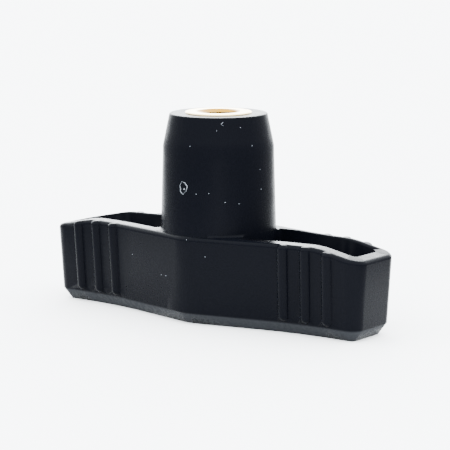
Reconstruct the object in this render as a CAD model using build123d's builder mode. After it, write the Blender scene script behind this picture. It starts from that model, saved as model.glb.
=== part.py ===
"""T-handle for a clamping screw.

A moulded bar grip, hollow on the screw side, carries a tall round hub in its middle.
A brass insert with a blind thread is moulded into the hub and ends flush with its top.
The handle lies on its palm face: +Z runs up the hub axis and +X along the grip, and the
origin is the middle of the palm face.
"""
import os
from math import asin, atan2, cos, degrees, radians, sin, tan

from build123d import *

os.makedirs("parts", exist_ok=True)

# ---- Driving dimensions, in millimetres and degrees ----

# Grip, measured at the top of the palm chamfer
grip_length = 95.4
end_width = 16.2            # across the parallel stretch at each end
parallel_start = 39.2       # from the hub axis to where the parallel stretch begins
waist_radius = 90.0         # long hollow curve between the parallel stretch and the flank
flank_angle = 12.8          # the flanks open from the grip's line towards the hub
crease_radius = 10.0        # rounds the ridge where two flanks meet beside the hub
end_corner_radius = 3.2
chamfer_height = 3.0        # palm chamfer, up the wall
chamfer_width = 2.2         # palm chamfer, across the palm face
draft = 3.5                 # the outer walls lean out towards the rim

# Rim of the hollow side
rim_height = 22.7
rim_drop_start = 36.1       # from the hub axis to where the rim starts to fall
rim_drop_angle = 11.8
rim_bend_radius = 25.0      # where the rim starts to fall
rim_radius = 1.1            # rounds the rim's outer edge

# Hollow of each wing
side_wall = 4.1             # side wall at the rim
end_wall = 3.6              # end wall at the rim
palm_skin = 3.2
pocket_draft = 1.0
pocket_end_radius = 1.6
pocket_hub_radius = 1.3     # corner between a side wall and the hub

# Finger ribs on the side walls
rib_first = 26.8            # from the hub axis, at half the rim's height
rib_pitch = 6.25
rib_count = 3
rib_radius = 1.6
rib_proud = 1.15            # how far a rib stands out of the wall
rib_lean = 1.0              # the ribs spread towards the rim
rib_start = 4.9             # height where a rib's rounded lower end begins

# Hub
hub_height = 52.6
hub_top_diameter = 25.0
hub_neck_diameter = 28.4    # where the top taper ends
hub_foot_diameter = 29.6    # at the rim
hub_taper_height = 8.2
hub_top_radius = 0.4
hub_foot_fillet = 0.8

# Brass insert
insert_diameter = 17.0
insert_length = 22.0
insert_edge = 0.2           # broken edges of the insert
insert_groove_width = 4.0   # ring groove that keys the insert in the plastic
insert_groove_depth = 0.9
insert_groove_middle = 11.0 # below the insert's top face
thread_core_diameter = 8.5  # M10 thread, drawn as its core hole
thread_depth = 18.0
thread_mouth_diameter = 10.7
drill_point_angle = 118.0

# ---- Values worked out from them ----
half_length = grip_length / 2
half_end = end_width / 2
flank = radians(flank_angle)
chamfer_angle = degrees(atan2(chamfer_width, chamfer_height))
rim_growth = (rim_height - chamfer_height) * tan(radians(draft))
rim_drop = tan(radians(rim_drop_angle))
wall_inset = side_wall - rim_growth     # inner wall at the rim, from the outline at the chamfer
hub_foot_radius = hub_foot_diameter / 2
hub_neck_radius = hub_neck_diameter / 2
hub_top_half = hub_top_diameter / 2
hub_neck_height = hub_height - hub_taper_height
insert_radius = insert_diameter / 2
core_radius = thread_core_diameter / 2
mouth_radius = thread_mouth_diameter / 2
thread_bottom = hub_height - thread_depth


def outline(reach, corner):
    """The grip's plan at the top of the palm chamfer, with the given half length and corner."""
    waist_middle = (parallel_start - waist_radius * sin(flank / 2),
                    half_end + waist_radius * (1 - cos(flank / 2)))
    waist_end = (parallel_start - waist_radius * sin(flank), half_end + waist_radius * (1 - cos(flank)))
    crease_centre = waist_end[1] + waist_end[0] * tan(flank) - crease_radius / cos(flank)
    crease_start = (crease_radius * sin(flank), crease_centre + crease_radius * cos(flank))
    Line((reach, 0), (reach, half_end - corner))
    TangentArc((reach, half_end - corner), (reach - corner, half_end), tangent=(0, 1))
    Line((reach - corner, half_end), (parallel_start, half_end))
    ThreePointArc((parallel_start, half_end), waist_middle, waist_end)
    Line(waist_end, crease_start)
    TangentArc(crease_start, (0, crease_centre + crease_radius), tangent=(-cos(flank), sin(flank)))
    mirror(about=Plane.YZ)
    mirror(about=Plane.XZ)


def wall_at(distance, height):
    """Half width of the grip over its outer walls, at a distance along it and a height."""
    turn = min(max((parallel_start - distance) / waist_radius, 0), sin(flank))
    flank_run = max(parallel_start - distance - turn * waist_radius, 0)
    plan_half = half_end + waist_radius * (1 - cos(asin(turn))) + flank_run * tan(flank)
    return plan_half + (height - chamfer_height) * tan(radians(draft))


def rounded_rim(solid, trim):
    """The solid trimmed at the rim, with the outer edge there rounded."""
    trimmed = solid - trim
    tops = trimmed.faces().filter_by(lambda face: face.normal_at().Z > cos(radians(2 * rim_drop_angle)))
    rim_edges = [edge for edge in tops.edges() if sum(edge in face.edges() for face in tops) == 1]
    return trimmed.fillet(rim_radius, rim_edges)


# ---- Everything above the rim: level in the middle, falling away towards both ends ----
with BuildPart() as above_rim:
    with BuildSketch(Plane.XZ) as side_view:
        with BuildLine():
            far = half_length + rim_height
            low = rim_height - (far - rim_drop_start) * rim_drop
            Polyline((-far, hub_height), (-far, low), (-rim_drop_start, rim_height),
                     (rim_drop_start, rim_height), (far, low), (far, hub_height), close=True)
        make_face()
        bends = side_view.vertices().sort_by(lambda vertex: abs(vertex.Y - rim_height))[:2]
        fillet(bends, rim_bend_radius)
    extrude(amount=half_length, both=True)

# ---- Grip: drafted walls above the palm chamfer, and the chamfer below them ----
with BuildPart() as grip:
    with BuildSketch(Plane.XY.offset(chamfer_height)) as grip_plan:
        with BuildLine():
            outline(half_length, end_corner_radius)
        make_face()
    extrude(amount=rim_height, taper=-draft)
    extrude(grip_plan.sketch, amount=chamfer_height, dir=(0, 0, -1), taper=chamfer_angle)

# ---- Finger ribs: half-round bars that follow the wall and start in a ball ----
ribs = []
for index in range(rib_count):
    along = rib_first + index * rib_pitch
    start = (along, wall_at(along, rib_start) + rib_proud - rib_radius, rib_start)
    with BuildPart(Plane(start, z_dir=(tan(radians(rib_lean)), tan(radians(draft)), 1))) as rib:
        Cylinder(rib_radius, rim_height, align=(Align.CENTER, Align.CENTER, Align.MIN))
        Sphere(rib_radius)
    back = rounded_rim(rib.part, above_rim.part)
    pair = [back, back.mirror(Plane.XZ)]
    ribs += pair + [side.mirror(Plane.YZ) for side in pair]

# ---- The two hollows, open at the rim and clear of the hub ----
with BuildPart() as pockets:
    with BuildSketch(Plane.XY.offset(rim_height)) as pocket_plan:
        with BuildLine():
            outline(half_length + side_wall - end_wall, wall_inset + pocket_end_radius)
        make_face()
        offset(amount=-wall_inset, mode=Mode.REPLACE)
        Circle(hub_foot_radius, mode=Mode.SUBTRACT)
        corners = pocket_plan.vertices().sort_by(lambda vertex: Vector(vertex).length)[:4]
        fillet(corners, pocket_hub_radius)
    extrude(amount=rim_height - palm_skin, dir=(0, 0, -1), taper=pocket_draft)
    extrude(pocket_plan.sketch, amount=rim_height)

# ---- Hub ----
with BuildPart() as hub:
    with BuildSketch(Plane.XZ) as hub_profile:
        with BuildLine():
            Polyline((0, palm_skin), (hub_foot_radius, palm_skin), (hub_foot_radius, rim_height),
                     (hub_neck_radius, hub_neck_height), (hub_top_half, hub_height),
                     (0, hub_height), close=True)
        make_face()
        fillet(hub_profile.vertices().sort_by(lambda vertex: vertex.X + vertex.Y)[-1], hub_top_radius)
    revolve(axis=Axis.Z)

# ---- Hollow corner where the hub stands on the flat of the rim ----
with BuildPart() as hub_foot:
    skirt_radius = hub_foot_radius + 2 * hub_foot_fillet
    skirt_height = rim_height - hub_foot_fillet
    with BuildSketch(Plane.XZ) as foot_profile:
        with BuildLine():
            Polyline((0, skirt_height), (skirt_radius, skirt_height), (skirt_radius, rim_height),
                     (hub_foot_radius, rim_height), (hub_neck_radius, hub_neck_height),
                     (0, hub_neck_height), close=True)
        make_face()
        inner_corner = foot_profile.vertices().sort_by_distance((hub_foot_radius, rim_height))[0]
        fillet(inner_corner, hub_foot_fillet)
    revolve(axis=Axis.Z)
    # Only over the flat, inside the rounded edge
    with BuildSketch(Plane.XY.offset(skirt_height)):
        with BuildLine():
            outline(half_length, wall_inset)
        make_face()
        offset(amount=rim_growth - rim_radius, mode=Mode.REPLACE)
    extrude(amount=hub_height, mode=Mode.INTERSECT)

# ---- Insert blank: the room it takes up in the hub ----
with BuildPart() as insert_blank:
    with Locations((0, 0, hub_height)):
        Cylinder(insert_radius, insert_length, align=(Align.CENTER, Align.CENTER, Align.MAX))
    chamfer(insert_blank.edges().filter_by(GeomType.CIRCLE), insert_edge)
    with BuildSketch(Plane.XY.offset(hub_height - insert_groove_middle)):
        Circle(insert_radius)
        Circle(insert_radius - insert_groove_depth, mode=Mode.SUBTRACT)
    extrude(amount=insert_groove_width / 2, both=True, mode=Mode.SUBTRACT)

# ---- Moulded handle body ----
with BuildPart() as handle_body:
    add(rounded_rim(grip.part, above_rim.part))
    add(ribs)
    add(hub.part)
    add(hub_foot.part)
    add(pockets.part, mode=Mode.SUBTRACT)
    add(insert_blank.part, mode=Mode.SUBTRACT)
handle_body.part.label = "handle_body"

# ---- Brass insert ----
with BuildPart() as threaded_insert:
    add(insert_blank.part)
    with BuildSketch(Plane.XZ):
        with BuildLine():
            Polyline((0, hub_height), (mouth_radius, hub_height),
                     (core_radius, hub_height - (mouth_radius - core_radius)),
                     (core_radius, thread_bottom),
                     (0, thread_bottom - core_radius / tan(radians(drill_point_angle / 2))), close=True)
        make_face()
    revolve(axis=Axis.Z, mode=Mode.SUBTRACT)
threaded_insert.part.label = "threaded_insert"

export_step(handle_body.part, "parts/handle_body.step")
export_step(threaded_insert.part, "parts/threaded_insert.step")
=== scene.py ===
"""Looks of the T-handle: black moulded plastic and a turned brass insert, on a pale studio floor."""
from math import atan2, ceil, cos, pi, radians, sin, tan

import bmesh
import bpy
from mathutils import Matrix, Vector


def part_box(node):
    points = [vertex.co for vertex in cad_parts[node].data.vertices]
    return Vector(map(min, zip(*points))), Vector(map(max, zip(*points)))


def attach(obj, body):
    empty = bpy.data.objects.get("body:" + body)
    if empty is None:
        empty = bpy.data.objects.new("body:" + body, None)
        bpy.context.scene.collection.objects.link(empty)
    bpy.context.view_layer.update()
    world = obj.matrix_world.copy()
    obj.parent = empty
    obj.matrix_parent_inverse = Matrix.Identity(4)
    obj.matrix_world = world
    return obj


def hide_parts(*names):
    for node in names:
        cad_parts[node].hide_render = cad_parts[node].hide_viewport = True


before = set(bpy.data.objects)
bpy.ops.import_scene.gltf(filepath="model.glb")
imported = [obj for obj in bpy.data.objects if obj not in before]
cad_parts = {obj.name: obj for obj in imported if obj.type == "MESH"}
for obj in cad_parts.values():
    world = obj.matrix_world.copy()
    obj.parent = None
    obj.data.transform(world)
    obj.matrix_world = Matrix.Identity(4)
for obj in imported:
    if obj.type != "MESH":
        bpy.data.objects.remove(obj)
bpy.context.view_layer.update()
MM = 0.001

# Sizes that the CAD model has too, in metres
HUB_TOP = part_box("handle_body")[1].z
INSERT_LOW, INSERT_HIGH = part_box("threaded_insert")
INSERT_RADIUS = INSERT_HIGH.x
INSERT_FOOT = INSERT_LOW.z
INSERT_EDGE = 0.2 * MM
GROOVE_TOP, GROOVE_LOW = HUB_TOP - 9 * MM, HUB_TOP - 13 * MM
GROOVE_RADIUS = INSERT_RADIUS - 0.9 * MM
CORE_RADIUS = 4.25 * MM
THREAD_DEPTH = 18 * MM
DRILL_POINT_HALF_ANGLE = radians(59)

# The M10 thread's form
PITCH = 1.5 * MM
THREAD_HEIGHT = 0.75 * MM
THREAD_FLAT = 0.125         # share of half a turn's rise that is flat at the crest and at the root
THREAD_END = 2 * MM         # plain stretch at the bottom of the bore

# The insert's face stands a little above the plastic, and its countersink is a wide one
PROUD = 0.38 * MM
FACE = HUB_TOP + PROUD
COUNTERSINK = tan(radians(60))
MOUTH_RADIUS = 5.65 * MM
COUNTERSINK_FOOT = FACE - (MOUTH_RADIUS - CORE_RADIUS) / COUNTERSINK

# How finely the insert is drawn
AROUND = 120
LEVELS_PER_TURN = 12

# Colours of the moulding: its own colour on the walls, and a paler colour on the palm chamfer that is
# painted reflection of the pale floor; and heights where they blend
PLASTIC = (0.0013, 0.0015, 0.0025)
CHAMFER_PAINTED_REFLECTION = (0.0135, 0.0145, 0.0165)
REFLECTION_STARTS, REFLECTION_FULL_BELOW = 3.2 * MM, 2.5 * MM

# Camera, in metres and degrees
CAMERA_PLACE = Vector((312.88, -413.68, 110.31)) * MM
AZIMUTH, PITCH_DOWN, ROLL = radians(36.92), radians(9.496), radians(-0.064)
AWAY = (-sin(AZIMUTH), cos(AZIMUTH), 0)
FOCAL_LENGTH = 163.77       # of a lens on a sensor 36 mm wide


# ---- Shader nodes ----
def principled(name, color, roughness, metallic=0.0, ior=1.5):
    """A new material, its shader and its node tree."""
    material = bpy.data.materials.new(name)
    material.use_nodes = True
    tree = material.node_tree
    shader = tree.nodes["Principled BSDF"]
    shader.inputs["Base Color"].default_value = (*color, 1)
    shader.inputs["Roughness"].default_value = roughness
    shader.inputs["Metallic"].default_value = metallic
    shader.inputs["IOR"].default_value = ior
    return material, shader, tree


def map_range(tree, socket, source, target=(0.0, 1.0), smooth=True):
    """The socket's value carried from the source range to the target range."""
    node = tree.nodes.new("ShaderNodeMapRange")
    if smooth:
        node.interpolation_type = "SMOOTHSTEP"
    for name, value in zip(("From Min", "From Max", "To Min", "To Max"), (*source, *target)):
        node.inputs[name].default_value = value
    tree.links.new(socket, node.inputs["Value"])
    return node.outputs["Result"]


def coordinate(tree, kind):
    return tree.nodes.new("ShaderNodeTexCoord").outputs[kind]


def height_of(tree, vector):
    """The Z part of a vector socket."""
    node = tree.nodes.new("ShaderNodeSeparateXYZ")
    tree.links.new(vector, node.inputs["Vector"])
    return node.outputs["Z"]


def along_view(tree, vector):
    """How far a vector socket points away from the camera, level with the floor."""
    node = tree.nodes.new("ShaderNodeVectorMath")
    node.operation = "DOT_PRODUCT"
    node.inputs[1].default_value = AWAY
    tree.links.new(vector, node.inputs[0])
    return node.outputs["Value"]


def noise(tree, scale, detail):
    """A noise texture in object space."""
    texture = tree.nodes.new("ShaderNodeTexNoise")
    texture.inputs["Scale"].default_value = scale
    texture.inputs["Detail"].default_value = detail
    tree.links.new(coordinate(tree, "Object"), texture.inputs["Vector"])
    return texture.outputs["Fac"]


def mottle(tree, shader, scale, detail, low, high):
    """Roughness that wanders between two values."""
    roughness = map_range(tree, noise(tree, scale, detail), (0.3, 0.7), (low, high), smooth=False)
    tree.links.new(roughness, shader.inputs["Roughness"])


def grain(tree, shader, scale, detail, strength, distance):
    """A fine bump."""
    node = tree.nodes.new("ShaderNodeBump")
    node.inputs["Strength"].default_value = strength
    node.inputs["Distance"].default_value = distance
    tree.links.new(noise(tree, scale, detail), node.inputs["Height"])
    tree.links.new(node.outputs["Normal"], shader.inputs["Normal"])


# ---- Materials ----
def black_moulding():
    """Satin black plastic, with a paler base colour on the palm chamfer: painted reflection of the pale
    floor.
    """
    material, shader, tree = principled("black_moulding", PLASTIC, 0.27, ior=1.08)
    mottle(tree, shader, 900, 4, 0.22, 0.32)
    grain(tree, shader, 1100, 2, 0.03, 0.02 * MM)
    tint = tree.nodes.new("ShaderNodeMix")
    tint.data_type = "RGBA"
    tint.inputs["A"].default_value = (*PLASTIC, 1)
    tint.inputs["B"].default_value = (*CHAMFER_PAINTED_REFLECTION, 1)
    # Painted reflection: the base colour turns paler low down, on the palm chamfer, in place of the pale
    # floor it reflects
    painted_reflection = map_range(tree, height_of(tree, coordinate(tree, "Object")), (REFLECTION_STARTS, REFLECTION_FULL_BELOW))
    tree.links.new(painted_reflection, tint.inputs["Factor"])
    tree.links.new(tint.outputs["Result"], shader.inputs["Base Color"])
    return material


def turned_brass():
    material, shader, tree = principled("turned_brass", (0.88, 0.68, 0.34), 0.22, metallic=1.0)
    mottle(tree, shader, 1500, 3, 0.16, 0.30)
    return material


def countersink_shade_brass():
    """The countersink's brass, a deeper and darker gold than the insert's face: painted shade and
    brass-on-brass reflection of the hole.
    """
    material, shader, tree = principled("countersink_shade_brass", (0.25, 0.125, 0.007), 0.25, metallic=1.0)
    mottle(tree, shader, 2500, 3, 0.20, 0.36)
    return material


black = black_moulding()
brass = turned_brass()
countersink_shaded = countersink_shade_brass()
# Painted shade: near-black brown brass for the thread down in the bore
thread_shade_brass = principled("thread_shade_brass", (0.020, 0.009, 0.001), 0.40, metallic=1.0)[0]
dust_grey = principled("dust", (0.09, 0.10, 0.115), 0.8)[0]
# Painted shade: a matte near-black for the sheet in the joint between plastic and brass
joint_shade_black = principled("joint_shadow", (0.004, 0.004, 0.005), 0.9, ior=1.1)[0]


# ---- Meshes ----
def place(name, mesh):
    """A new object in the scene."""
    piece = bpy.data.objects.new(name, mesh)
    bpy.context.scene.collection.objects.link(piece)
    return piece


def dress(mesh, material):
    """One material all over, and smooth shading."""
    mesh.materials.clear()
    mesh.materials.append(material)
    for polygon in mesh.polygons:
        polygon.use_smooth = True


def ring(radius_at, height):
    """A ring of points whose radius follows the angle."""
    angles = [2 * pi * step / AROUND for step in range(AROUND)]
    return [(radius_at(angle) * cos(angle), radius_at(angle) * sin(angle), height) for angle in angles]


def plain(radius, height):
    return ring(lambda angle: radius, height)


def grid_mesh(name, rows, material, close_first=None, close_last=None):
    """A surface through rings of points, closed by a centre point at either end where one is given."""
    count = len(rows[0])
    verts = [point for row in rows for point in row]
    faces = []
    for level in range(len(rows) - 1):
        for step in range(count):
            after = (step + 1) % count
            faces.append((level * count + step, level * count + after,
                          (level + 1) * count + after, (level + 1) * count + step))
    if close_first is not None:
        verts.append(close_first)
        faces += [((step + 1) % count, step, len(verts) - 1) for step in range(count)]
    if close_last is not None:
        base = (len(rows) - 1) * count
        verts.append(close_last)
        faces += [(base + step, base + (step + 1) % count, len(verts) - 1) for step in range(count)]
    mesh = bpy.data.meshes.new(name)
    mesh.from_pydata(verts, [], faces)
    mesh.update()
    dress(mesh, material)
    return place(name, mesh)


# ---- Moulded body: the CAD surface with smooth shading between its sharp edges ----
def moulded_body():
    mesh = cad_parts["handle_body"].data.copy()
    piece = place("handle_body_look", mesh)
    work = bmesh.new()
    work.from_mesh(mesh)
    bmesh.ops.remove_doubles(work, verts=work.verts, dist=1e-7)
    work.to_mesh(mesh)
    work.free()
    dress(mesh, black)
    mesh.set_sharp_from_angle(angle=radians(28))
    weighting = piece.modifiers.new("even_shading", "WEIGHTED_NORMAL")
    weighting.keep_sharp = True
    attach(piece, "root")
    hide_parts("handle_body")
    return piece


# ---- Brass insert: outer skin by rings, thread by a helical grid ----
def bore_radius(angle, depth):
    """Radius of the threaded wall, cut by the countersink at the mouth and run out at the bottom."""
    phase = (depth / PITCH + angle / (2 * pi)) % 1.0
    rise = abs(2 * phase - 1)
    flank = min(max((rise - THREAD_FLAT) / (1 - 2 * THREAD_FLAT), 0), 1)
    fade = min(max((THREAD_DEPTH - THREAD_END - depth) / PITCH, 0), 1)
    return max(CORE_RADIUS + THREAD_HEIGHT * (1 - flank) * fade, MOUTH_RADIUS - COUNTERSINK * depth)


def brass_insert():
    outer = [plain(INSERT_RADIUS - INSERT_EDGE, INSERT_FOOT),
             plain(INSERT_RADIUS, INSERT_FOOT + INSERT_EDGE),
             plain(INSERT_RADIUS, GROOVE_LOW),
             plain(GROOVE_RADIUS, GROOVE_LOW),
             plain(GROOVE_RADIUS, GROOVE_TOP),
             plain(INSERT_RADIUS, GROOVE_TOP),
             plain(INSERT_RADIUS, FACE - INSERT_EDGE),
             plain(INSERT_RADIUS - INSERT_EDGE, FACE)]
    levels = ceil(THREAD_DEPTH / (PITCH / LEVELS_PER_TURN))
    inner = []
    for level in range(levels + 1):
        depth = THREAD_DEPTH * level / levels
        inner.append(ring(lambda angle: bore_radius(angle, depth), FACE - depth))
    tip = (0, 0, FACE - THREAD_DEPTH - CORE_RADIUS / tan(DRILL_POINT_HALF_ANGLE))
    piece = grid_mesh("insert_look", outer + inner, brass, (0, 0, INSERT_FOOT), tip)
    piece.data.materials.append(countersink_shaded)
    piece.data.materials.append(thread_shade_brass)
    # Painted shade: the bore's faces take darker copies of the brass, deep gold in the countersink above
    # its foot and near-black brown in the thread below
    for polygon in piece.data.polygons:
        if polygon.index >= len(outer) * AROUND:
            polygon.material_index = 1 if polygon.center.z > COUNTERSINK_FOOT else 2
    piece.data.set_sharp_from_angle(angle=radians(25))
    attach(piece, "root")
    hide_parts("threaded_insert")


# ---- Painted shade: a dark sheet sunk in the joint between plastic and brass, out of sight ----
def joint_painted_shade():
    rows = [plain(INSERT_RADIUS - 0.17 * MM, HUB_TOP - 0.16 * MM),
            plain(INSERT_RADIUS - 0.13 * MM, HUB_TOP - 0.02 * MM),
            plain(INSERT_RADIUS + 0.03 * MM, HUB_TOP - 0.01 * MM)]
    piece = grid_mesh("joint_shade_line", rows, joint_shade_black)
    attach(piece, "root")


# ---- Dust and small marks on the moulding: (x, y, z, radius) in millimetres ----
HUB_SKIN = 14.4             # near enough to the hub's radius for the closest point to be the right one
GRAIN_FLATNESS = 0.35

LOOSE_DUST = [(8.32, -9.54, 51.2, 0.10), (7.52, -10.72, 49.43, 0.10), (11.44, -6.07, 50.11, 0.12),
              (1.59, -13.78, 45.43, 0.12), (13.33, -3.80, 45.47, 0.14), (3.60, -13.96, 33.60, 0.12),
              (6.63, -12.80, 33.86, 0.11), (10.00, -10.47, 31.64, 0.13), (12.27, -7.71, 31.15, 0.12),
              (14.18, -1.56, 39.29, 0.12), (14.35, -1.33, 34.24, 0.13), (1.53, -15.37, 22.0, 0.11),
              (6.42, -13.95, 18.02, 0.13), (-8.19, -13.12, 11.69, 0.12), (-6.37, -13.55, 11.70, 0.13),
              (-19.60, -10.66, 15.40, 0.10)]


def on_hub(angle, height):
    """A point close to the hub's skin at an angle from +X and a height."""
    return (HUB_SKIN * cos(angle), HUB_SKIN * sin(angle), height)


def gate_scar():
    """An uneven pale ring on the hub with a dot in it."""
    middle_angle, middle_height = atan2(-14.39, -0.16), 34.95
    half_width, half_height = 1.05, 1.5
    grains = 40
    marks = []
    for step in range(grains):
        turn = 2 * pi * step / grains
        wobble = 1 + 0.10 * sin(3 * turn + 1) + 0.06 * sin(7 * turn)
        angle = middle_angle + half_width * wobble * cos(turn) / HUB_SKIN
        height = middle_height + half_height * wobble * sin(turn)
        marks.append((*on_hub(angle, height), 0.11 + 0.05 * sin(2 * turn + 0.6)))
    marks.append((*on_hub(middle_angle + 0.02, middle_height - 0.35), 0.24))
    return marks


def scratch():
    """A short bent scratch under the hub's top edge."""
    middle_angle, top, length = atan2(-9.54, 8.32), 51.95, 1.0
    radius_there = 12.8
    grains = 14
    marks = []
    for step in range(grains):
        reach = step / (grains - 1)
        side = abs(2 * reach - 1)
        angle = middle_angle + (0.55 * side - 0.25) / radius_there
        marks.append((*on_hub(angle, top - length * reach), 0.055))
    return marks


def specks(name, places, surface):
    """Small flat grains, as one piece, on the surface at its points nearest to the places."""
    work = bmesh.new()
    for x, y, z, size in places:
        _, point, out, _ = surface.closest_point_on_mesh(Vector((x, y, z)) * MM)
        spin = Vector((0, 0, 1)).rotation_difference(out).to_matrix().to_4x4()
        flatten = Matrix.Diagonal((1, 1, GRAIN_FLATNESS, 1))
        bmesh.ops.create_icosphere(work, subdivisions=2, radius=size * MM,
                                   matrix=Matrix.Translation(point) @ spin @ flatten)
    mesh = bpy.data.meshes.new(name)
    work.to_mesh(mesh)
    work.free()
    dress(mesh, dust_grey)
    piece = place(name, mesh)
    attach(piece, "root")


# ---- Camera ----
def set_camera():
    forward = Vector((-sin(AZIMUTH) * cos(PITCH_DOWN), cos(AZIMUTH) * cos(PITCH_DOWN), -sin(PITCH_DOWN)))
    level_right = Vector((cos(AZIMUTH), sin(AZIMUTH), 0))
    level_up = level_right.cross(forward)
    right = cos(ROLL) * level_right + sin(ROLL) * level_up
    up = -sin(ROLL) * level_right + cos(ROLL) * level_up
    lens = bpy.data.cameras.new("camera")
    lens.sensor_width = 36
    lens.lens = FOCAL_LENGTH
    lens.clip_end = 20
    camera = place("camera", lens)
    matrix = Matrix((right, up, -forward)).transposed().to_4x4()
    matrix.translation = CAMERA_PLACE
    camera.matrix_world = matrix
    bpy.context.scene.camera = camera


# ---- Studio: pale floor, white surround that is brighter behind the object ----
def studio_floor():
    """A floor that is palest in a wedge running away from below the camera: painted light, pale where the
    camera looks across the floor and darker elsewhere.
    """
    reach = 3
    mesh = bpy.data.meshes.new("floor")
    corners = [(-reach, -reach, 0), (reach, -reach, 0), (reach, reach, 0), (-reach, reach, 0)]
    mesh.from_pydata(corners, [], [(0, 1, 2, 3)])
    floor = place("floor", mesh)
    material, shader, tree = principled("floor", (0.93, 0.93, 0.93), 0.9)
    from_camera = tree.nodes.new("ShaderNodeVectorMath")
    from_camera.operation = "SUBTRACT"
    from_camera.inputs[1].default_value = (CAMERA_PLACE.x, CAMERA_PLACE.y, 0)
    direction = tree.nodes.new("ShaderNodeVectorMath")
    direction.operation = "NORMALIZE"
    tree.links.new(coordinate(tree, "Object"), from_camera.inputs[0])
    tree.links.new(from_camera.outputs["Vector"], direction.inputs[0])
    painted_light_wedge = map_range(tree, along_view(tree, direction.outputs["Vector"]), (0.965, 0.993), (0.22, 0.93))
    shade = tree.nodes.new("ShaderNodeCombineColor")
    for channel in ("Red", "Green", "Blue"):
        tree.links.new(painted_light_wedge, shade.inputs[channel])
    tree.links.new(shade.outputs["Color"], shader.inputs["Base Color"])
    mesh.materials.append(material)


def surround():
    """A cool white dome, brighter overhead, with a bright lobe behind the object."""
    world = bpy.data.worlds.new("studio")
    bpy.context.scene.world = world
    world.use_nodes = True
    tree = world.node_tree
    background = tree.nodes["Background"]
    direction = coordinate(tree, "Generated")
    total = tree.nodes.new("ShaderNodeMath")
    tree.links.new(map_range(tree, height_of(tree, direction), (0.10, 0.50), (3.0, 9.5)), total.inputs[0])
    tree.links.new(map_range(tree, along_view(tree, direction), (0.72, 0.97), (0.0, 13.0)), total.inputs[1])
    tree.links.new(total.outputs["Value"], background.inputs["Strength"])
    background.inputs["Color"].default_value = (0.93, 0.97, 1.0, 1)


body = moulded_body()
brass_insert()
joint_painted_shade()
specks("dust", LOOSE_DUST + gate_scar() + scratch(), body)
set_camera()
studio_floor()
surround()
